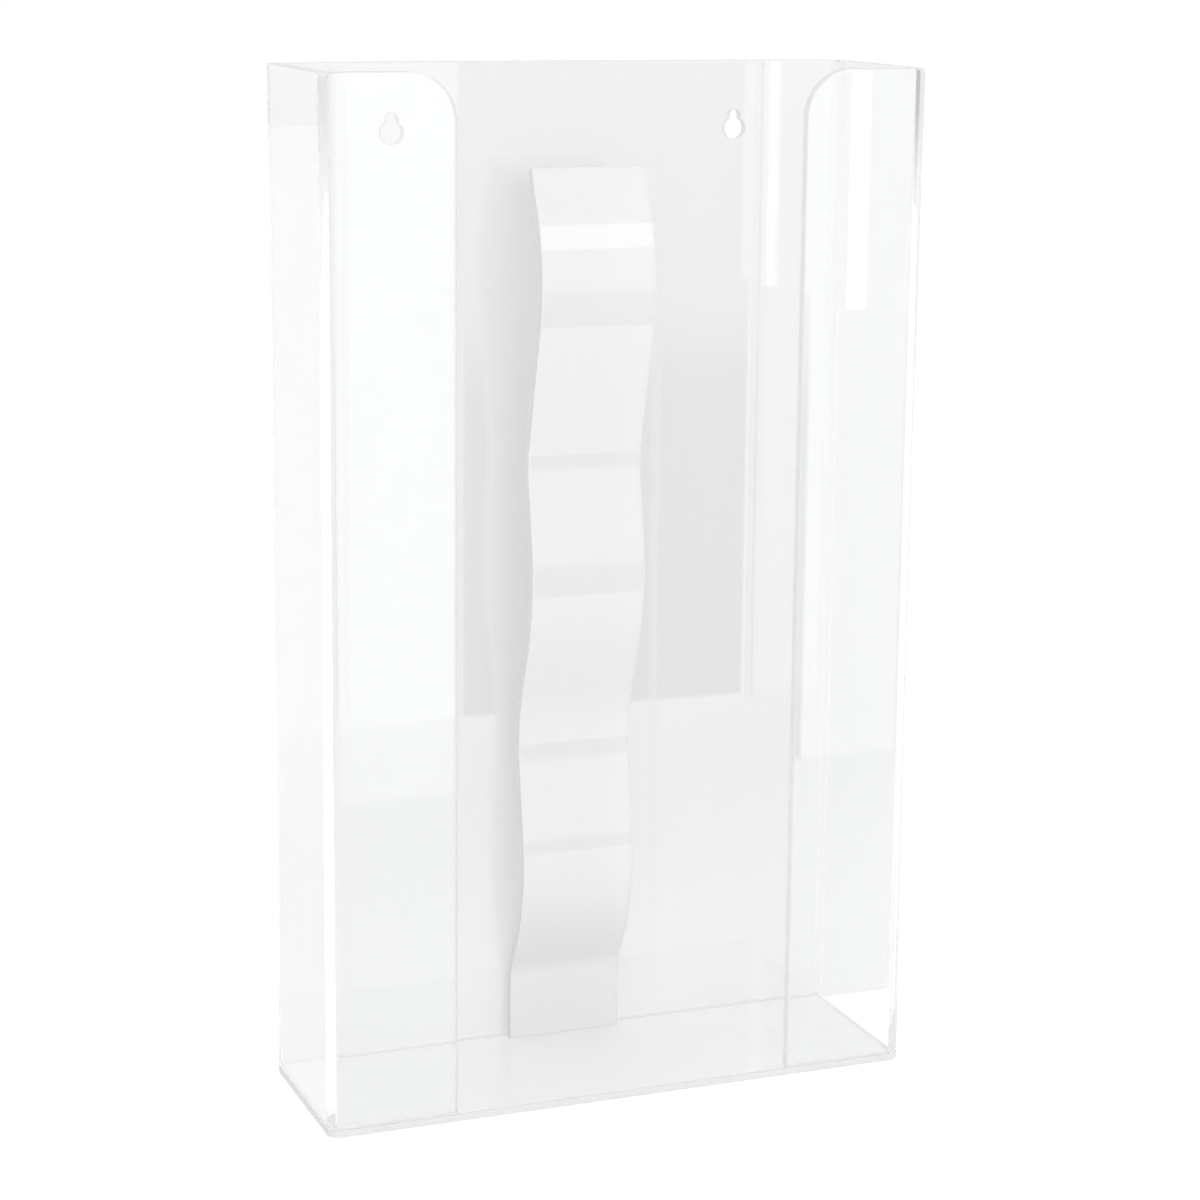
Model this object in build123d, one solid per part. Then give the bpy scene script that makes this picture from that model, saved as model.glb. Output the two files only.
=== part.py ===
from build123d import *
import os
from math import cos, radians, sqrt

# A clear holder for a stack of glove boxes. It hangs on a wall by two keyholes, or stands on its base.
# Millimetres. X runs to the right as seen from the front, the front faces -Y, the wall is at +Y and
# Z is up. The origin is the middle of the footprint, on the underside of the base plate.

# Outside of the whole holder
overall_width = 260.0
overall_depth = 84.0
overall_height = 432.0

# Sheet that the body is bent from, and its four upright bends
sheet_thickness = 4.5
bend_inner_radius = 1.0
return_width = 55.0
return_corner_radius = 20.0

# The cut edges of a heat-bent sheet dip at each bend, deepest on the outside
bend_dip_depth = 1.3
bend_dip_radius = 5.0
bend_dip_tilt = 12.0

# Keyholes in the back panel: a round entry for the screw's head, with a neck for its shank above
keyhole_spacing = 155.0
keyhole_drop = 29.0
keyhole_entry_diameter = 9.5
keyhole_neck_width = 5.0
keyhole_neck_rise = 5.5

# Flat plate bonded under the body
base_thickness = 3.0

# Strip that pushes the boxes forward. Its bends are given where the straight runs on both sides of
# a bend would meet: the rise from the bend below, and how far the strip's middle is off the panel.
spring_width = 51.0
spring_thickness = 4.5
foot_rise = 31.8
foot_bend_radius = 18.0
low_bulge_rise = 37.7
low_bulge_reach = 22.2
low_bulge_radius = 80.0
low_valley_rise = 74.5
low_valley_reach = 10.0
low_valley_radius = 70.0
middle_bulge_rise = 61.2
middle_bulge_reach = 31.4
middle_bulge_radius = 95.0
high_valley_rise = 56.2
high_valley_reach = 21.1
high_valley_radius = 36.0
high_bulge_rise = 82.4
high_bulge_reach = 42.0
high_bulge_radius = 75.0
tip_rise = 42.1
tip_reach = 24.5

# Places that follow from the sizes above
bend_outer_radius = bend_inner_radius + sheet_thickness
bend_middle_radius = bend_inner_radius + sheet_thickness / 2
body_height = overall_height - base_thickness
wall_middle_x = overall_width / 2 - sheet_thickness / 2
wall_middle_y = overall_depth / 2 - sheet_thickness / 2
return_edge_x = overall_width / 2 - return_width
panel_face_y = overall_depth / 2 - sheet_thickness
keyhole_entry_z = overall_height - keyhole_drop

# Base plate: the same outline as the body that stands on it, so its corners follow the bends.
base_plate = extrude(
    RectangleRounded(overall_width, overall_depth, bend_outer_radius),
    amount=base_thickness,
)

# Folded body: the middle of the sheet runs from one return's free edge round the four bends to the
# other's, and is thickened by half the sheet to each side.
sheet_line = FilletPolyline(
    (-return_edge_x, -wall_middle_y),
    (-wall_middle_x, -wall_middle_y),
    (-wall_middle_x, wall_middle_y),
    (wall_middle_x, wall_middle_y),
    (wall_middle_x, -wall_middle_y),
    (return_edge_x, -wall_middle_y),
    radius=bend_middle_radius,
)
sheet_profile = Pos(0, 0, base_thickness) * trace(sheet_line, sheet_thickness)
folded_body = extrude(sheet_profile, amount=body_height)

# The inner top corner of each return is rounded off, for hands that reach in from above.
return_corners = [
    edge
    for edge in folded_body.edges().filter_by(Axis.Y)
    if edge.center().Z > overall_height - return_corner_radius / 2
    and abs(abs(edge.center().X) - return_edge_x) < sheet_thickness / 2
]
folded_body = fillet(return_corners, return_corner_radius)

# A keyhole is a round entry joined to a narrower neck with a round top, cut through the panel.
back_plane = Plane((0, overall_depth / 2, keyhole_entry_z), x_dir=(-1, 0, 0), z_dir=(0, 1, 0))
keyhole_outline = Circle(keyhole_entry_diameter / 2)
keyhole_outline += Pos(0, keyhole_neck_rise / 2) * Rectangle(keyhole_neck_width, keyhole_neck_rise)
keyhole_outline += Pos(0, keyhole_neck_rise) * Circle(keyhole_neck_width / 2)
for side in (-1, 1):
    keyhole = extrude(
        back_plane * Pos(side * keyhole_spacing / 2, 0) * keyhole_outline,
        amount=-2 * sheet_thickness,
    )
    folded_body -= keyhole

# Each dip is a round cut across the bend's corner. Its axis points out of the corner and leans
# towards the sheet on the way out, so the cut is deepest on the outside of the bend.
dip_axis_offset = bend_dip_radius / cos(radians(bend_dip_tilt)) - bend_dip_depth
for x_side in (-1, 1):
    for y_side in (-1, 1):
        corner_x = x_side * (overall_width / 2 - bend_outer_radius * (1 - 1 / sqrt(2)))
        corner_y = y_side * (overall_depth / 2 - bend_outer_radius * (1 - 1 / sqrt(2)))
        outwards = Vector(x_side, y_side, 0).normalized()
        across = Vector(-y_side, x_side, 0).normalized()
        for edge_z, z_side in ((base_thickness, -1), (overall_height, 1)):
            lean = outwards.rotate(Axis((0, 0, 0), across), z_side * bend_dip_tilt)
            dip_plane = Plane(
                (corner_x, corner_y, edge_z + z_side * dip_axis_offset),
                x_dir=across,
                z_dir=lean,
            )
            folded_body -= dip_plane * Cylinder(bend_dip_radius, 4 * sheet_thickness)

# Wave spring: the middle of the strip climbs the panel as the flat foot, leaves it at the foot bend
# and runs through bulges and valleys to its free tip. Reach is measured forwards from the panel.
spring_points = [(spring_thickness / 2, 0)]
spring_bends = (
    (foot_rise, spring_thickness / 2),
    (low_bulge_rise, low_bulge_reach),
    (low_valley_rise, low_valley_reach),
    (middle_bulge_rise, middle_bulge_reach),
    (high_valley_rise, high_valley_reach),
    (high_bulge_rise, high_bulge_reach),
    (tip_rise, tip_reach),
)
for rise, reach in spring_bends:
    spring_points.append((reach, spring_points[-1][1] + rise))
spring_line = FilletPolyline(
    *spring_points,
    radius=(
        foot_bend_radius,
        low_bulge_radius,
        low_valley_radius,
        middle_bulge_radius,
        high_valley_radius,
        high_bulge_radius,
    ),
)
spring_plane = Plane((spring_width / 2, panel_face_y, base_thickness), x_dir=(0, -1, 0), z_dir=(-1, 0, 0))
wave_spring = extrude(spring_plane * trace(spring_line, spring_thickness), amount=spring_width)

# One file for each piece
os.makedirs("parts", exist_ok=True)
export_step(folded_body, "parts/folded_body.step")
export_step(base_plate, "parts/base_plate.step")
export_step(wave_spring, "parts/wave_spring.step")
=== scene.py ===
import math

import bmesh
import bpy
import numpy as np
from mathutils import Matrix, Vector


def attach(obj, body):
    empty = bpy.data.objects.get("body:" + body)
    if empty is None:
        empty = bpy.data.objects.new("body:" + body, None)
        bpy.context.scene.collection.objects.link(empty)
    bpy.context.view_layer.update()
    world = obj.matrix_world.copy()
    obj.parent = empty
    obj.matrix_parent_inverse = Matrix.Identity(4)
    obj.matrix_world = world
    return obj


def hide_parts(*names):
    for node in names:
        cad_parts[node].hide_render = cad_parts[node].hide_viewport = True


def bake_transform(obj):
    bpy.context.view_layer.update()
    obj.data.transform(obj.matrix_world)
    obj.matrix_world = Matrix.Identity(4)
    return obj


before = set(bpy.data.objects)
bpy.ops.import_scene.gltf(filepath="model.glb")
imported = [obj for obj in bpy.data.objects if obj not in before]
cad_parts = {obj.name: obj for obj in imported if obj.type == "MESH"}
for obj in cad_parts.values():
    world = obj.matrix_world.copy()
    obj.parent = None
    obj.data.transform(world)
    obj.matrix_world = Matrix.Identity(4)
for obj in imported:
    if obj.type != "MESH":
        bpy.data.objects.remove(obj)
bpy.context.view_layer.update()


# Base sheet
# A flat plate of clear acrylic, cut to the holder's footprint and bonded under the folded sheet.
# Its sawn edge is left satin, so it shows as a pale band round the foot.

mm = 0.001
wide, deep, tall = 260 * mm, 84 * mm, 432 * mm
base_thick = 3 * mm
corner_radius = 5.5 * mm
corner_steps = 16
# How far the inner rings of the plate's faces lie in from its outline
ring_insets = [4 * mm, 1.2 * mm]
# Each cut edge has this rounding, and bonded sheets lie this far apart
eased = 0.3 * mm
seam = 0.04 * mm


def make_piece(name, corners, faces, material):
    """A smooth mesh object from rows of points and rows of corner numbers. Corners less than two
    thousandths of a millimetre apart become one, and the faces are turned outwards. A point's
    fourth number is 1 on a cut edge and 0 on the sheet's own polished faces."""
    corners = np.concatenate(corners)
    mesh = bpy.data.meshes.new(name)
    mesh.from_pydata(corners[:, :3].tolist(), [], [f for group in faces for f in group])
    cut = mesh.attributes.new("cut_edge", "FLOAT", "POINT")
    cut.data.foreach_set("value", corners[:, 3].astype(np.float32))
    shell = bmesh.new()
    shell.from_mesh(mesh)
    bmesh.ops.remove_doubles(shell, verts=shell.verts, dist=0.002 * mm)
    bmesh.ops.recalc_face_normals(shell, faces=shell.faces)
    shell.to_mesh(mesh)
    shell.free()
    mesh.polygons.foreach_set("use_smooth", np.ones(len(mesh.polygons), bool))
    mesh.materials.append(material)
    piece = bpy.data.objects.new(name, mesh)
    bpy.context.scene.collection.objects.link(piece)
    return piece


def grid_faces(numbers, closed=False):
    """The quads of a grid of corner numbers: each joins a corner, the next along its row and the
    two beside them in the next row. A closed grid also joins the end of each row to its start."""
    if closed:
        numbers = np.concatenate([numbers, numbers[:, :1]], axis=1)
    quads = np.stack([numbers[:-1, :-1], numbers[:-1, 1:], numbers[1:, 1:], numbers[1:, :-1]], -1)
    return quads.reshape(-1, 4).tolist()


def eased_edge(thick, steps=4):
    """The profile round a cut edge, from the upper face to the lower: how far each point is out
    from the faces' border, and how high. Each corner is a quarter circle of radius r, which at the
    angle a is r sin a out and has dropped by r - r cos a."""
    a = np.linspace(0, np.pi / 2, steps)
    out = eased * np.sin(a)
    high = thick / 2 - eased * (1 - np.cos(a))
    return np.concatenate([out, out[::-1]]), np.concatenate([high, -high[::-1]])


class Wire:
    """A socket in a material. Sums and products of wires and numbers add Math nodes."""

    def __init__(self, tree, socket):
        self.tree, self.socket = tree, socket

    def math(self, operation, left, right):
        values = {0: left, 1: right}
        return node(self.tree, "ShaderNodeMath", {"operation": operation}, values)

    def __add__(self, other):
        return self.math("ADD", self, other)

    def __mul__(self, other):
        return self.math("MULTIPLY", self, other)

    __radd__ = __add__
    __rmul__ = __mul__


def node(tree, kind, settings=None, values=None, output=0):
    """Adds a node of this kind, makes its settings, then fills its sockets with values or wires,
    and gives the wire of one output."""
    made = tree.nodes.new(kind)
    for key, value in (settings or {}).items():
        setattr(made, key, value)
    for key, value in (values or {}).items():
        if isinstance(value, Wire):
            tree.links.new(value.socket, made.inputs[key])
        else:
            made.inputs[key].default_value = value
    return Wire(tree, made.outputs[output]) if len(made.outputs) else None


acrylic_index = 1.49
# The finest handling marks: their number in a metre, and the roughness that they leave
marks_scale = 60.0
marks_roughness = 0.008
# A sawn edge: its colour, how satin it is, and the share of its light that comes through it
satin_colour = (0.98, 0.985, 0.985, 1)
satin_share = 0.85
piped_share = 0.35
# Light that is still inside a sheet after this many reflections comes out, with these shares of
# its strength low down and near the top, which are blended between two heights; the smaller share
# near the top is painted shade
most_reflections = 2.5
low_leak, top_leak = 0.97, 0.8
leak_change = 370 * mm, 425 * mm


def blank_material(name):
    """A material with no nodes yet, and its node tree."""
    material = bpy.data.materials.new(name)
    material.use_nodes = True
    material.node_tree.nodes.clear()
    return material, material.node_tree


def mixed(tree, share, first, second):
    """The first shader, with this share of the second in it."""
    return node(tree, "ShaderNodeMixShader", {}, {0: share, 1: first, 2: second})


def clear_pane(tree, share):
    """Lets this share of the light straight through."""
    return node(tree, "ShaderNodeBsdfTransparent", {}, {"Color": (share, share, share, 1)})


def acrylic(name, tint, milk, lamp_share, pane_share):
    """Clear acrylic of its refractive index. milk is the share of light that its surface scatters,
    from wear and dust, and the satin cut edges scatter most. Lamps shine through it, and so does
    the light of the room, dimmed a little at each face."""
    material, tree = blank_material(name)
    place = node(tree, "ShaderNodeTexCoord", output="Object")
    noise = {"Vector": place, "Scale": marks_scale, "Detail": 2.0}
    marks = node(tree, "ShaderNodeTexNoise", {}, noise)
    polished = node(
        tree,
        "ShaderNodeBsdfPrincipled",
        {},
        {
            "Base Color": (*tint, 1),
            "Roughness": marks_roughness * marks,
            "IOR": acrylic_index,
            "Transmission Weight": 1 - milk,
        },
    )
    struck = node(tree, "ShaderNodeBsdfDiffuse", {}, {"Color": satin_colour})
    piped = node(tree, "ShaderNodeBsdfTranslucent", {}, {"Color": satin_colour})
    satin = mixed(tree, piped_share, struck, piped)
    cut = node(tree, "ShaderNodeAttribute", {"attribute_name": "cut_edge"}, output="Fac")
    faces = mixed(tree, cut * satin_share, polished, satin)
    height = node(tree, "ShaderNodeSeparateXYZ", {}, {0: place}, "Z")
    top = node(
        tree,
        "ShaderNodeMapRange",
        {"interpolation_type": "SMOOTHSTEP"},
        {"Value": height, "From Min": leak_change[0], "From Max": leak_change[1]},
    )
    # Trapped light is let out dimmer towards the top: painted shade by height
    leak = mixed(tree, top, clear_pane(tree, low_leak), clear_pane(tree, top_leak))
    path = tree.nodes.new("ShaderNodeLightPath")
    depth, bounced, lamp = (
        Wire(tree, path.outputs[name]) for name in ("Glossy Depth", "Is Diffuse Ray", "Is Shadow Ray")
    )
    far = depth.math("GREATER_THAN", depth, most_reflections)
    inside = mixed(tree, far, faces, leak)
    lit = mixed(tree, bounced, inside, clear_pane(tree, pane_share))
    shown = mixed(tree, lamp, lit, clear_pane(tree, lamp_share))
    node(tree, "ShaderNodeOutputMaterial", {}, {"Surface": shown})
    return material


def rounded_outline(inset):
    """The plate's outline, pulled in by inset, as rows of x and y. Each corner is a quarter circle
    of radius less the inset, about a centre one radius in from both sides, and the last point
    joins the first."""
    a = np.linspace(0, np.pi / 2, corner_steps)
    turns = [a + k * np.pi / 2 for k in range(4)]
    centre = np.array([(1, 1), (-1, 1), (-1, -1), (1, -1)]) * (
        np.array([wide, deep]) / 2 - corner_radius
    )
    radius = corner_radius - inset
    return np.concatenate(
        [c + radius * np.stack([np.cos(t), np.sin(t)], 1) for c, t in zip(centre, turns)]
    )


def base_sheet():
    """Rings round the plate's outline, from the upper face over the eased edge to the lower face.
    Each is the outline pulled in by its inset, at its height, and the last on each face is filled."""
    out, high = eased_edge(base_thick)
    insets = np.concatenate([ring_insets, eased - out, ring_insets[::-1]])
    heights = np.concatenate([[high[0]] * 2, high, [high[-1]] * 2]) + base_thick / 2
    sawn = np.concatenate([[0] * 3, np.ones(len(out) - 2), [0] * 3])
    rings = np.stack(
        [
            np.column_stack([rounded_outline(inset), np.full((4 * corner_steps, 2), (z, cut))])
            for inset, z, cut in zip(insets, heights, sawn)
        ]
    )
    numbers = np.arange(rings.shape[0] * rings.shape[1]).reshape(rings.shape[:2])
    faces = [grid_faces(numbers, closed=True), [numbers[0].tolist(), numbers[-1].tolist()]]
    return [rings.reshape(-1, 4)], faces


plate_material = acrylic(
    "base_acrylic", (0.985, 0.99, 0.99), milk=0.3, lamp_share=0.95, pane_share=0.96
)
plate = make_piece("base_sheet", *base_sheet(), plate_material)
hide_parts("base_plate")
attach(plate, "holder")


# Folded sheet
# One sheet of clear acrylic, heated along four lines and bent into the back panel, the two sides
# and the two front returns. Two keyholes are cut in the back, and the returns have rounded tops.

sheet_thick = 4.5 * mm
inner_radius = 1 * mm
return_wide = 55 * mm
return_corner = 20 * mm
# Each keyhole's entry circle is this far from the middle, and its neck goes up from it
keyhole_across = 77.5 * mm
keyhole_high = 403 * mm
entry_radius = 4.75 * mm
neck_half = 2.5 * mm
neck_rise = 5.5 * mm
# The cut edges' dip at a bend: how deep, how wide along the sheet, and how far down it fades
dip_deep = 1.3 * mm
dip_wide = 2.3 * mm
dip_fade = 5 * mm
# Where the grid is cut: round a bend, round a return's corner, beside an edge or an arc, close to
# a free end, round a keyhole, and up the plain part
bend_step = math.radians(4.5)
corner_cuts = 25
support = 0.5 * mm
crowded = 2 * mm
keyhole_margin = 5 * mm
keyhole_columns = 12
foot_row, top_row_drop = 10 * mm, 6 * mm
plain_rows = np.linspace(40 * mm, 380 * mm, 8)


class Bends:
    """A line of straight runs joined by arcs, measured along its length. On a piece of constant
    curl c that starts at p with heading h, the point s further on is p plus a chord of length
    s sin(cs/2) / (cs/2) at heading h + cs/2, which also holds for a straight piece, where c is
    nought."""

    def __init__(self, corners, radii):
        corners = np.asarray(corners, float)
        step = np.diff(corners, axis=0)
        length = np.hypot(*step.T)
        heading = np.arctan2(step[:, 1], step[:, 0])
        turn = (np.diff(heading) + np.pi) % (2 * np.pi) - np.pi
        cut = np.asarray(radii) * np.tan(np.abs(turn) / 2)
        runs = length - np.concatenate([[0], cut]) - np.concatenate([cut, [0]])
        lengths = np.zeros(2 * len(runs) - 1)
        lengths[0::2], lengths[1::2] = runs, np.asarray(radii) * np.abs(turn)
        self.curl = np.zeros(len(lengths))
        self.curl[1::2] = np.sign(turn) / np.asarray(radii)
        self.start = np.concatenate([[0], np.cumsum(lengths)])
        self.length = self.start[-1]
        self.heading = heading[0] + np.concatenate([[0], np.cumsum(self.curl * lengths)[:-1]])
        moves = self.chord(self.heading, self.curl, lengths)
        self.point = corners[0] + np.concatenate([[(0, 0)], np.cumsum(moves, 0)[:-1]])

    @staticmethod
    def chord(heading, curl, s):
        half = curl * s / 2
        return (s * np.sinc(half / np.pi))[..., None] * np.stack(
            [np.cos(heading + half), np.sin(heading + half)], -1
        )

    def at(self, s):
        """The points at these lengths along the line, and the directions to its left."""
        k = np.clip(np.searchsorted(self.start, s, side="right") - 1, 0, len(self.curl) - 1)
        on = s - self.start[k]
        heading = self.heading[k] + self.curl[k] * on
        left = np.stack([-np.sin(heading), np.cos(heading)], -1)
        return self.point[k] + self.chord(self.heading[k], self.curl[k], on), left

    def stations(self, turn_step, extra=()):
        """Lengths at which the line is cut: evenly round each arc, with a pair close to its ends
        that keeps the flats flat, and at the extra ones."""
        found = [np.asarray(extra, float)]
        for k in range(1, len(self.curl), 2):
            a, b = self.start[k], self.start[k + 1]
            steps = max(4, round(abs(self.curl[k]) * (b - a) / turn_step))
            found += [np.linspace(a, b, steps + 1), [a - support, b + support]]
        return np.unique(np.round(np.concatenate(found), 9))


def sheet_faces(place, border_low, border_high, out_low, out_high, rows, thick, holes=()):
    """The closed skin of a sheet that was flat before it was bent. Its two faces are grids between
    a low and a high border, each drawn in by the eased edge. The edge's profile is carried round
    the border, and each hole is a patch of rings between a block of the grid and the hole's own
    edge. place turns flat coordinates, along, across and through the sheet, into space."""
    low, high = border_low - eased * out_low, border_high - eased * out_high
    flat = low[:, None] + (high - low)[:, None] * rows[None, :, None]
    along, across = flat.shape[:2]
    number = np.arange(along * across).reshape(along, across)
    solid = np.ones((along - 1, across - 1), bool)
    for (i0, i1, j0, j1), rings, hole_out in holes:
        solid[i0:i1, j0:j1] = False
    quads = np.array(grid_faces(number))[solid.ravel()].tolist()
    corners, faces, count = [], [], 0

    def add(points, found, cut=0.0):
        nonlocal count
        cut = np.broadcast_to(cut, points.shape[:2])
        corners.append(np.concatenate([points, cut[..., None]], -1).reshape(-1, 4))
        faces.append((np.asarray(found) + count).tolist())
        count += len(corners[-1])

    for through in (thick / 2, -thick / 2):
        add(place(flat, np.full(flat.shape[:2], through)), quads)
    edge = np.concatenate([flat[:, 0], flat[-1, 1:-1], flat[::-1, -1], flat[0, -2:0:-1]])
    sideways = np.zeros((across - 2, 2))
    outwards = np.concatenate(
        [out_low, sideways + (1, 0), out_high[::-1], sideways + (-1, 0)]
    )
    loops = [(edge, outwards)] + [(rings[-1], hole_out) for _, rings, hole_out in holes]
    out, through = eased_edge(thick)
    for loop, away in loops:
        swept = loop[None] + out[:, None, None] * away[None]
        number = np.arange(swept.shape[0] * swept.shape[1]).reshape(swept.shape[:2])
        sawn = np.ones(len(out))
        sawn[[0, -1]] = 0
        add(
            place(swept, np.broadcast_to(through[:, None], swept.shape[:2])),
            grid_faces(number, closed=True),
            sawn[:, None],
        )
    for _, rings, _ in holes:
        number = np.arange(rings.shape[0] * rings.shape[1]).reshape(rings.shape[:2])
        for side in (thick / 2, -thick / 2):
            add(place(rings, np.full(rings.shape[:2], side)), grid_faces(number, closed=True))
    return corners, faces


def keyhole_outline(steps_round=28, steps_neck=3, steps_top=14):
    """The keyhole's edge and the directions into the hole. It runs clockwise from the neck's right
    foot: round the entry circle, up the left side of the neck, over its half-round top and down
    the right side."""
    meet = np.arcsin(neck_half / entry_radius)
    foot = entry_radius * np.cos(meet)
    a = np.linspace(np.pi / 2 - meet, -3 * np.pi / 2 + meet, steps_round + 1)[:-1]
    b = np.linspace(np.pi, 0, steps_top + 1)[:-1]
    up = np.linspace(foot, neck_rise, steps_neck + 1)[:-1]
    down = np.linspace(neck_rise, foot, steps_neck + 1)[:-1]
    edge = np.concatenate(
        [
            entry_radius * np.stack([np.cos(a), np.sin(a)], 1),
            np.stack([np.full(steps_neck, -neck_half), up], 1),
            neck_half * np.stack([np.cos(b), np.sin(b)], 1) + (0, neck_rise),
            np.stack([np.full(steps_neck, neck_half), down], 1),
        ]
    )
    inwards = np.concatenate(
        [
            -np.stack([np.cos(a), np.sin(a)], 1),
            np.tile((1.0, 0.0), (steps_neck, 1)),
            -np.stack([np.cos(b), np.sin(b)], 1),
            np.tile((-1.0, 0.0), (steps_neck, 1)),
        ]
    )
    # Where the neck meets the circle, the direction is drawn in by both edges
    for k, across in ((0, -1.0), (steps_round, 1.0)):
        inwards[k] = (inwards[k] + (across, 0.0)) / (1 + neck_half / entry_radius)
    return edge, inwards


def folded_sheet():
    """The sheet's middle line runs round the four bends from one return's free end to the other's.
    It is cut into columns, and its height into rows, and the high border falls at each free end by
    a quarter circle: r - sqrt(r squared - d squared), where d is how far a column is past the
    corner's start. Each keyhole is a block of the grid with rings between its rim and the hole."""
    middle = wide / 2 - sheet_thick / 2
    front = deep / 2 - sheet_thick / 2
    free = wide / 2 - return_wide
    line = Bends(
        [(-free, -front), (-middle, -front), (-middle, front)]
        + [(middle, front), (middle, -front), (free, -front)],
        [inner_radius + sheet_thick / 2] * 4,
    )
    back_middle = line.length / 2
    bends = (line.start[1:-1:2] + line.start[2::2]) / 2

    def place(flat, through):
        """The line gives x and y. The cut edges sink at each bend, most on its outside, by a
        bell-shaped dip that fades out away from the edge."""
        along, up = flat[..., 0], flat[..., 1]
        point, left = line.at(along)
        xy = point + left * through[..., None]
        near = np.exp(-(((along[..., None] - bends) / dip_wide) ** 2)).sum(-1)
        depth = dip_deep * np.clip(0.5 + through / sheet_thick, 0.1, 1) * near
        from_top = np.clip(1 - (tall - up) / dip_fade, 0, 1)
        from_foot = np.clip(1 - (up - base_thick) / dip_fade, 0, 1)
        return np.concatenate([xy, (up - depth * (from_top - from_foot))[..., None]], -1)

    edge, inwards = keyhole_outline()
    count = len(edge)
    levels = (count - 2 * keyhole_columns) // 2
    half = entry_radius + keyhole_margin
    cell_low, cell_high = keyhole_high - half, keyhole_high + neck_rise + neck_half + keyhole_margin
    cells = [
        back_middle + side * keyhole_across + np.linspace(-half, half, keyhole_columns + 1)
        for side in (-1, 1)
    ]
    turn = np.linspace(0, np.pi / 2, corner_cuts)
    ends = return_corner * (1 - np.cos(turn))
    extra = np.concatenate([ends, line.length - ends, *cells, [back_middle]])
    extra = np.concatenate([extra, [eased + support, line.length - eased - support]])
    s = line.stations(bend_step, extra)
    from_end = np.clip(return_corner - np.minimum(s, line.length - s), 0, return_corner)
    fall = return_corner - np.sqrt(return_corner**2 - from_end**2)
    from_free = np.minimum(s, line.length - s)
    spread = np.where(from_free < crowded, eased + from_free * (1 - eased / crowded), from_free)
    spread[[0, -1]] = 0
    at_foot = np.where(s < back_middle, spread, line.length - spread)
    low = np.stack([at_foot, np.full(len(s), base_thick + seam)], 1)
    high = np.stack([s, tall - fall], 1)
    out_low = np.tile((0.0, -1.0), (len(s), 1))
    out_low[[0, -1], 0] = -1, 1
    tilt = from_end / return_corner * np.where(s < back_middle, -1, 1)
    out_high = np.stack([tilt, np.sqrt(1 - tilt**2)], 1)
    inside_low, inside_high = base_thick + seam + eased, tall - eased
    levels_at = np.concatenate(
        [
            [inside_low, inside_low + support, foot_row],
            plain_rows,
            np.linspace(cell_low, cell_high, levels + 1),
            [tall - top_row_drop, inside_high - support, inside_high],
        ]
    )
    rows = (levels_at - inside_low) / (inside_high - inside_low)
    j0 = int(np.argmin(np.abs(levels_at - cell_low)))
    holes = []
    for cell in cells:
        i0, i1 = (int(np.argmin(np.abs(s - end))) for end in (cell[0], cell[-1]))
        x, z = s[i0 : i1 + 1], levels_at[j0 : j0 + levels + 1]
        rim = np.concatenate(
            [
                np.stack([x, np.full(len(x), z[0])], 1)[:-1],
                np.stack([np.full(len(z), x[-1]), z], 1)[:-1],
                np.stack([x, np.full(len(x), z[-1])], 1)[:0:-1],
                np.stack([np.full(len(z), x[0]), z], 1)[:0:-1],
            ]
        )
        centre = np.array([(cell[0] + cell[-1]) / 2, keyhole_high])
        hole, into = edge[::-1] + centre, inwards[::-1]
        first = int(np.argmin(np.hypot(*(hole - rim[0]).T)))
        hole, into = np.roll(hole, -first, 0), np.roll(into, -first, 0)
        inner = hole - eased * into
        near = hole - (eased + support) * into
        rings = np.stack([rim, (rim + near) / 2, near, inner])
        holes.append(((i0, i1, j0, j0 + levels), rings, into))
    return sheet_faces(place, low, high, out_low, out_high, rows, sheet_thick, holes)


body_material = acrylic(
    "body_acrylic", (0.99, 0.995, 0.995), milk=0.02, lamp_share=0.97, pane_share=0.985
)
body = make_piece("folded_sheet", *folded_sheet(), body_material)
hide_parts("folded_body")
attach(body, "holder")


# Wave spring
# A strip of clear acrylic, heated and bent into three bulges. Its flat foot is bonded to the back
# panel, and its free part pushes the stack of boxes against the front returns.

spring_wide = 51 * mm
spring_thick = 4.5 * mm
# Where the strip's straight runs would meet, in millimetres above the base plate and off the
# panel, and the radii of the bends at all but the first and the last
spring_corners = (
    (0.04, 2.25), (31.8, 2.25), (69.5, 22.2), (144.0, 10.0), (205.2, 31.4), (261.4, 21.1),
    (343.8, 42.0), (385.9, 24.5),
)
spring_radii = (18, 80, 70, 95, 36, 75)
spring_step = math.radians(1.0)


def spring_strip():
    """The strip's middle line is cut into columns, each a straight row from side to side."""
    line = Bends(np.array(spring_corners) * mm, np.array(spring_radii) * mm)
    panel = deep / 2 - sheet_thick

    def place(flat, through):
        """The line gives the height above the base plate and the reach off the panel."""
        point, left = line.at(flat[..., 0])
        rise, reach = np.moveaxis(point + left * through[..., None], -1, 0)
        return np.stack([flat[..., 1], panel - seam - reach, base_thick + rise], -1)

    end_cuts = [0, eased + support, line.length - eased - support, line.length]
    s = line.stations(spring_step, end_cuts)
    low = np.stack([s, np.full(len(s), -spring_wide / 2)], 1)
    high = np.stack([s, np.full(len(s), spring_wide / 2)], 1)
    out_low = np.tile((0.0, -1.0), (len(s), 1))
    out_high = np.tile((0.0, 1.0), (len(s), 1))
    out_low[[0, -1], 0] = out_high[[0, -1], 0] = -1, 1
    inside = spring_wide - 2 * eased
    beside_edge = support / inside
    rows = np.concatenate([[0, beside_edge], np.linspace(0.1, 0.9, 7), [1 - beside_edge, 1]])
    return sheet_faces(place, low, high, out_low, out_high, rows, spring_thick)


spring_material = acrylic(
    "spring_acrylic", (0.985, 0.99, 0.99), milk=0.6, lamp_share=0.68, pane_share=0.88
)
spring = make_piece("spring_strip", *spring_strip(), spring_material)
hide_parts("wave_spring")
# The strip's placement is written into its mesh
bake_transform(spring)


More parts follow.
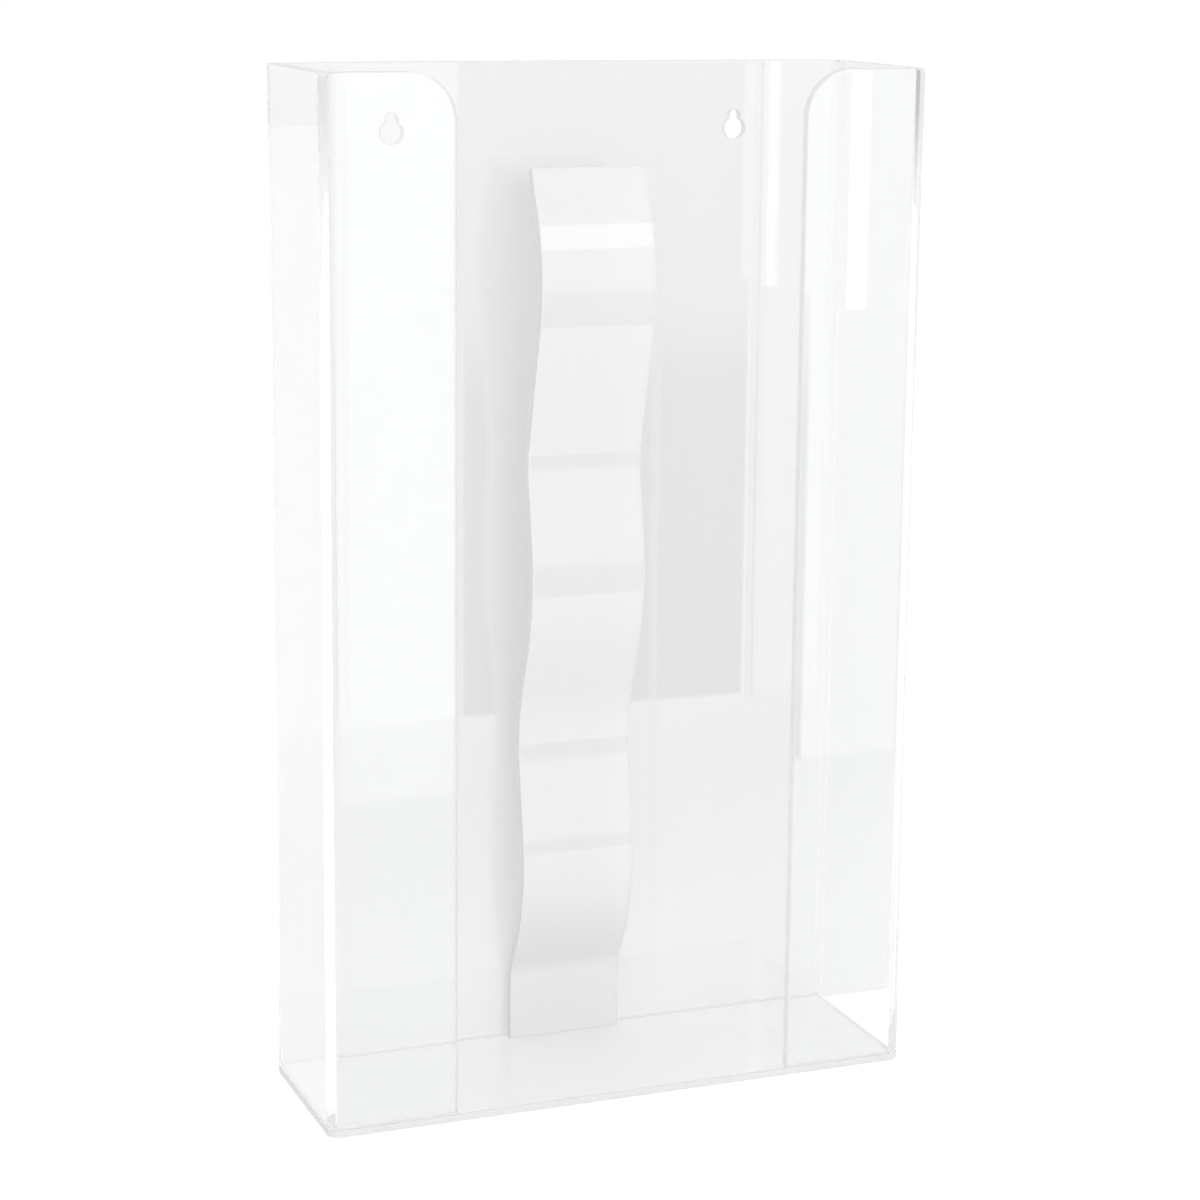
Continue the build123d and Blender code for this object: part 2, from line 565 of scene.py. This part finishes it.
# Studio
# A plain white table that runs on out of sight, a pale surrounding and one soft lamp, with a wall
# that is seen through the acrylic and cards that are seen only in reflections.


def plain_object(name, corners, material):
    """One flat polygon."""
    mesh = bpy.data.meshes.new(name)
    mesh.from_pydata(corners, [], [tuple(range(len(corners)))])
    mesh.materials.append(material)
    made = bpy.data.objects.new(name, mesh)
    bpy.context.scene.collection.objects.link(made)
    return made


def seen_rays(tree):
    """1 for rays that reach the eye straight, by a reflection or through glass."""
    path = tree.nodes.new("ShaderNodeLightPath")
    seen = Wire(tree, path.outputs["Is Camera Ray"])
    for name in ("Is Glossy Ray", "Is Transmission Ray"):
        seen = seen.math("MAXIMUM", seen, Wire(tree, path.outputs[name]))
    return seen


def fading(tree, axis, start, end, low, high):
    """A brightness that goes smoothly from low to high between two places along an axis, or
    between two distances from the origin."""
    place = node(tree, "ShaderNodeTexCoord", output="Object")
    if axis == "DISTANCE":
        along = node(tree, "ShaderNodeVectorMath", {"operation": "LENGTH"}, {0: place}, "Value")
    else:
        along = node(tree, "ShaderNodeSeparateXYZ", {}, {0: place}, axis)
    return node(
        tree,
        "ShaderNodeMapRange",
        {"interpolation_type": "SMOOTHSTEP"},
        {"Value": along, "From Min": start, "From Max": end, "To Min": low, "To Max": high},
    )


def stage_paint(name, colour, *lift):
    """Matt paint that keeps the shadows on it, and looks brighter by its lift, as fading takes it,
    to rays that reach the eye."""
    material, tree = blank_material(name)
    paint = node(tree, "ShaderNodeBsdfDiffuse", {}, {"Color": (colour, colour, colour, 1)})
    brightness = fading(tree, *lift) * seen_rays(tree)
    glow = node(tree, "ShaderNodeEmission", {}, {"Strength": brightness})
    both = node(tree, "ShaderNodeAddShader", {}, {0: paint, 1: glow})
    node(tree, "ShaderNodeOutputMaterial", {}, {"Surface": both})
    return material


def gleam(name, corners, *brightness):
    """A card that shows only to light that was reflected on its way. Its brightness is one number,
    or fades as fading takes it."""
    material, tree = blank_material(name)
    strength = brightness[0] if len(brightness) == 1 else fading(tree, *brightness)
    glow = node(tree, "ShaderNodeEmission", {}, {"Strength": strength})
    depth = node(tree, "ShaderNodeLightPath", output="Glossy Depth")
    reflected = depth.math("GREATER_THAN", depth, 0.5)
    shown = mixed(tree, reflected, clear_pane(tree, 1.0), glow)
    node(tree, "ShaderNodeOutputMaterial", {}, {"Surface": shown})
    made = plain_object(name, corners, material)
    made.visible_camera = made.visible_diffuse = made.visible_shadow = False
    return made


def upright(x_low, x_high, y, z_low, z_high):
    """The corners of an upright rectangle that faces the front."""
    return [(x_low, y, z_low), (x_high, y, z_low), (x_high, y, z_high), (x_low, y, z_high)]


# The table lies just under the holder, and ends far enough back that the cards, which reach below
# it, show in the panel's reflections
table_drop = 0.1 * mm
table_side, table_front, table_back = 3, -0.5, 6
table = plain_object(
    "table",
    [
        (-table_side, table_front, -table_drop),
        (table_side, table_front, -table_drop),
        (table_side, table_back, -table_drop),
        (-table_side, table_back, -table_drop),
    ],
    stage_paint("white_table", 0.86, "DISTANCE", 0.25, 0.6, 0.4, 0.55),
)

# The wall is just behind the panel. Its glow is stronger near the foot, painted light that stands in
# for light bounced up from the table
wall_gap = 0.5 * mm
wall = plain_object(
    "wall",
    upright(-0.6, 0.6, deep / 2 + wall_gap, 0, 0.9),
    stage_paint("pale_wall", 0.72, "Z", 0.14, 0.02, 0.20, 0.28),
)
wall.visible_camera = wall.visible_glossy = wall.visible_diffuse = wall.visible_shadow = False

# The cards stand in front of the holder, to its right
gleam("dark_front", upright(0.54, 0.86, -1.7, -0.9, 0.12), "Z", -0.02, 0.12, 0.02, 1.0)
gleam("left_card", upright(0.33, 0.54, -1.72, -0.9, 0.45), 1.8)
gleam("right_card", upright(0.86, 1.05, -1.72, -0.9, 0.45), 1.8)
gleam("streak", upright(0.563, 0.578, -1.003, 0.2, 0.5), 3.5)
gleam("soft_box", upright(0.5, 0.95, -1.6, 0.85, 1.4), 2.6)

world = bpy.data.worlds.new("studio")
world.use_nodes = True
bpy.context.scene.world = world
sky = world.node_tree
sky.nodes.clear()
room_light = 0.72
brightness = room_light + (1 - room_light) * seen_rays(sky)
air = node(sky, "ShaderNodeBackground", {}, {"Color": (1, 1, 1, 1), "Strength": brightness})
node(sky, "ShaderNodeOutputWorld", {}, {"Surface": air})


def soft_lamp(name, where, towards, size, strength):
    """A lamp with a rectangular face of this brightness, turned towards a point."""
    lamp = bpy.data.lights.new(name, "AREA")
    lamp.shape = "RECTANGLE"
    lamp.size, lamp.size_y = size
    lamp.energy = strength * np.pi * size[0] * size[1]
    made = bpy.data.objects.new(name, lamp)
    made.location = where
    aim = np.subtract(towards, where)
    made.rotation_mode = "QUATERNION"
    made.rotation_quaternion = Vector(aim).to_track_quat("-Z", "Y")
    made.visible_camera = made.visible_glossy = made.visible_transmission = False
    bpy.context.scene.collection.objects.link(made)
    return made


soft_lamp("key", (0.1, -1.9, 0.75), (0, 0, 0.2), size=(0.9, 0.6), strength=6.4)

# The camera, fitted to the edges in the photograph. Its focal length and the point that it looks
# straight at are in pixels of a square picture, and its angles are in radians.
picture_wide = 1200
focal_length = 3021.7643
sight_x, sight_y = 650, 520
turn, tilt_down, roll = 0.3875202, 0.1940246, 0.0126976
camera_place = -0.4511683, -1.1662479, 0.4880617

camera = bpy.data.cameras.new("camera")
camera.sensor_width = 36
camera.lens = focal_length / picture_wide * camera.sensor_width
camera.shift_x = (picture_wide / 2 - sight_x) / picture_wide
camera.shift_y = (sight_y - picture_wide / 2) / picture_wide
level = math.cos(tilt_down)
forward = np.array([math.sin(turn) * level, math.cos(turn) * level, -math.sin(tilt_down)])
right = np.array([math.cos(turn), -math.sin(turn), 0])
up = np.cross(right, forward)
right, up = (
    math.cos(roll) * right + math.sin(roll) * up,
    math.cos(roll) * up - math.sin(roll) * right,
)
camera_object = bpy.data.objects.new("camera", camera)
rows = np.eye(4)
rows[:3] = np.stack([right, up, -forward, camera_place], 1)
camera_object.matrix_world = Matrix(rows.tolist())
camera.clip_start, camera.clip_end = 0.01, 100
bpy.context.scene.collection.objects.link(camera_object)
bpy.context.scene.camera = camera_object
bpy.context.scene.view_settings.view_transform = "Standard"
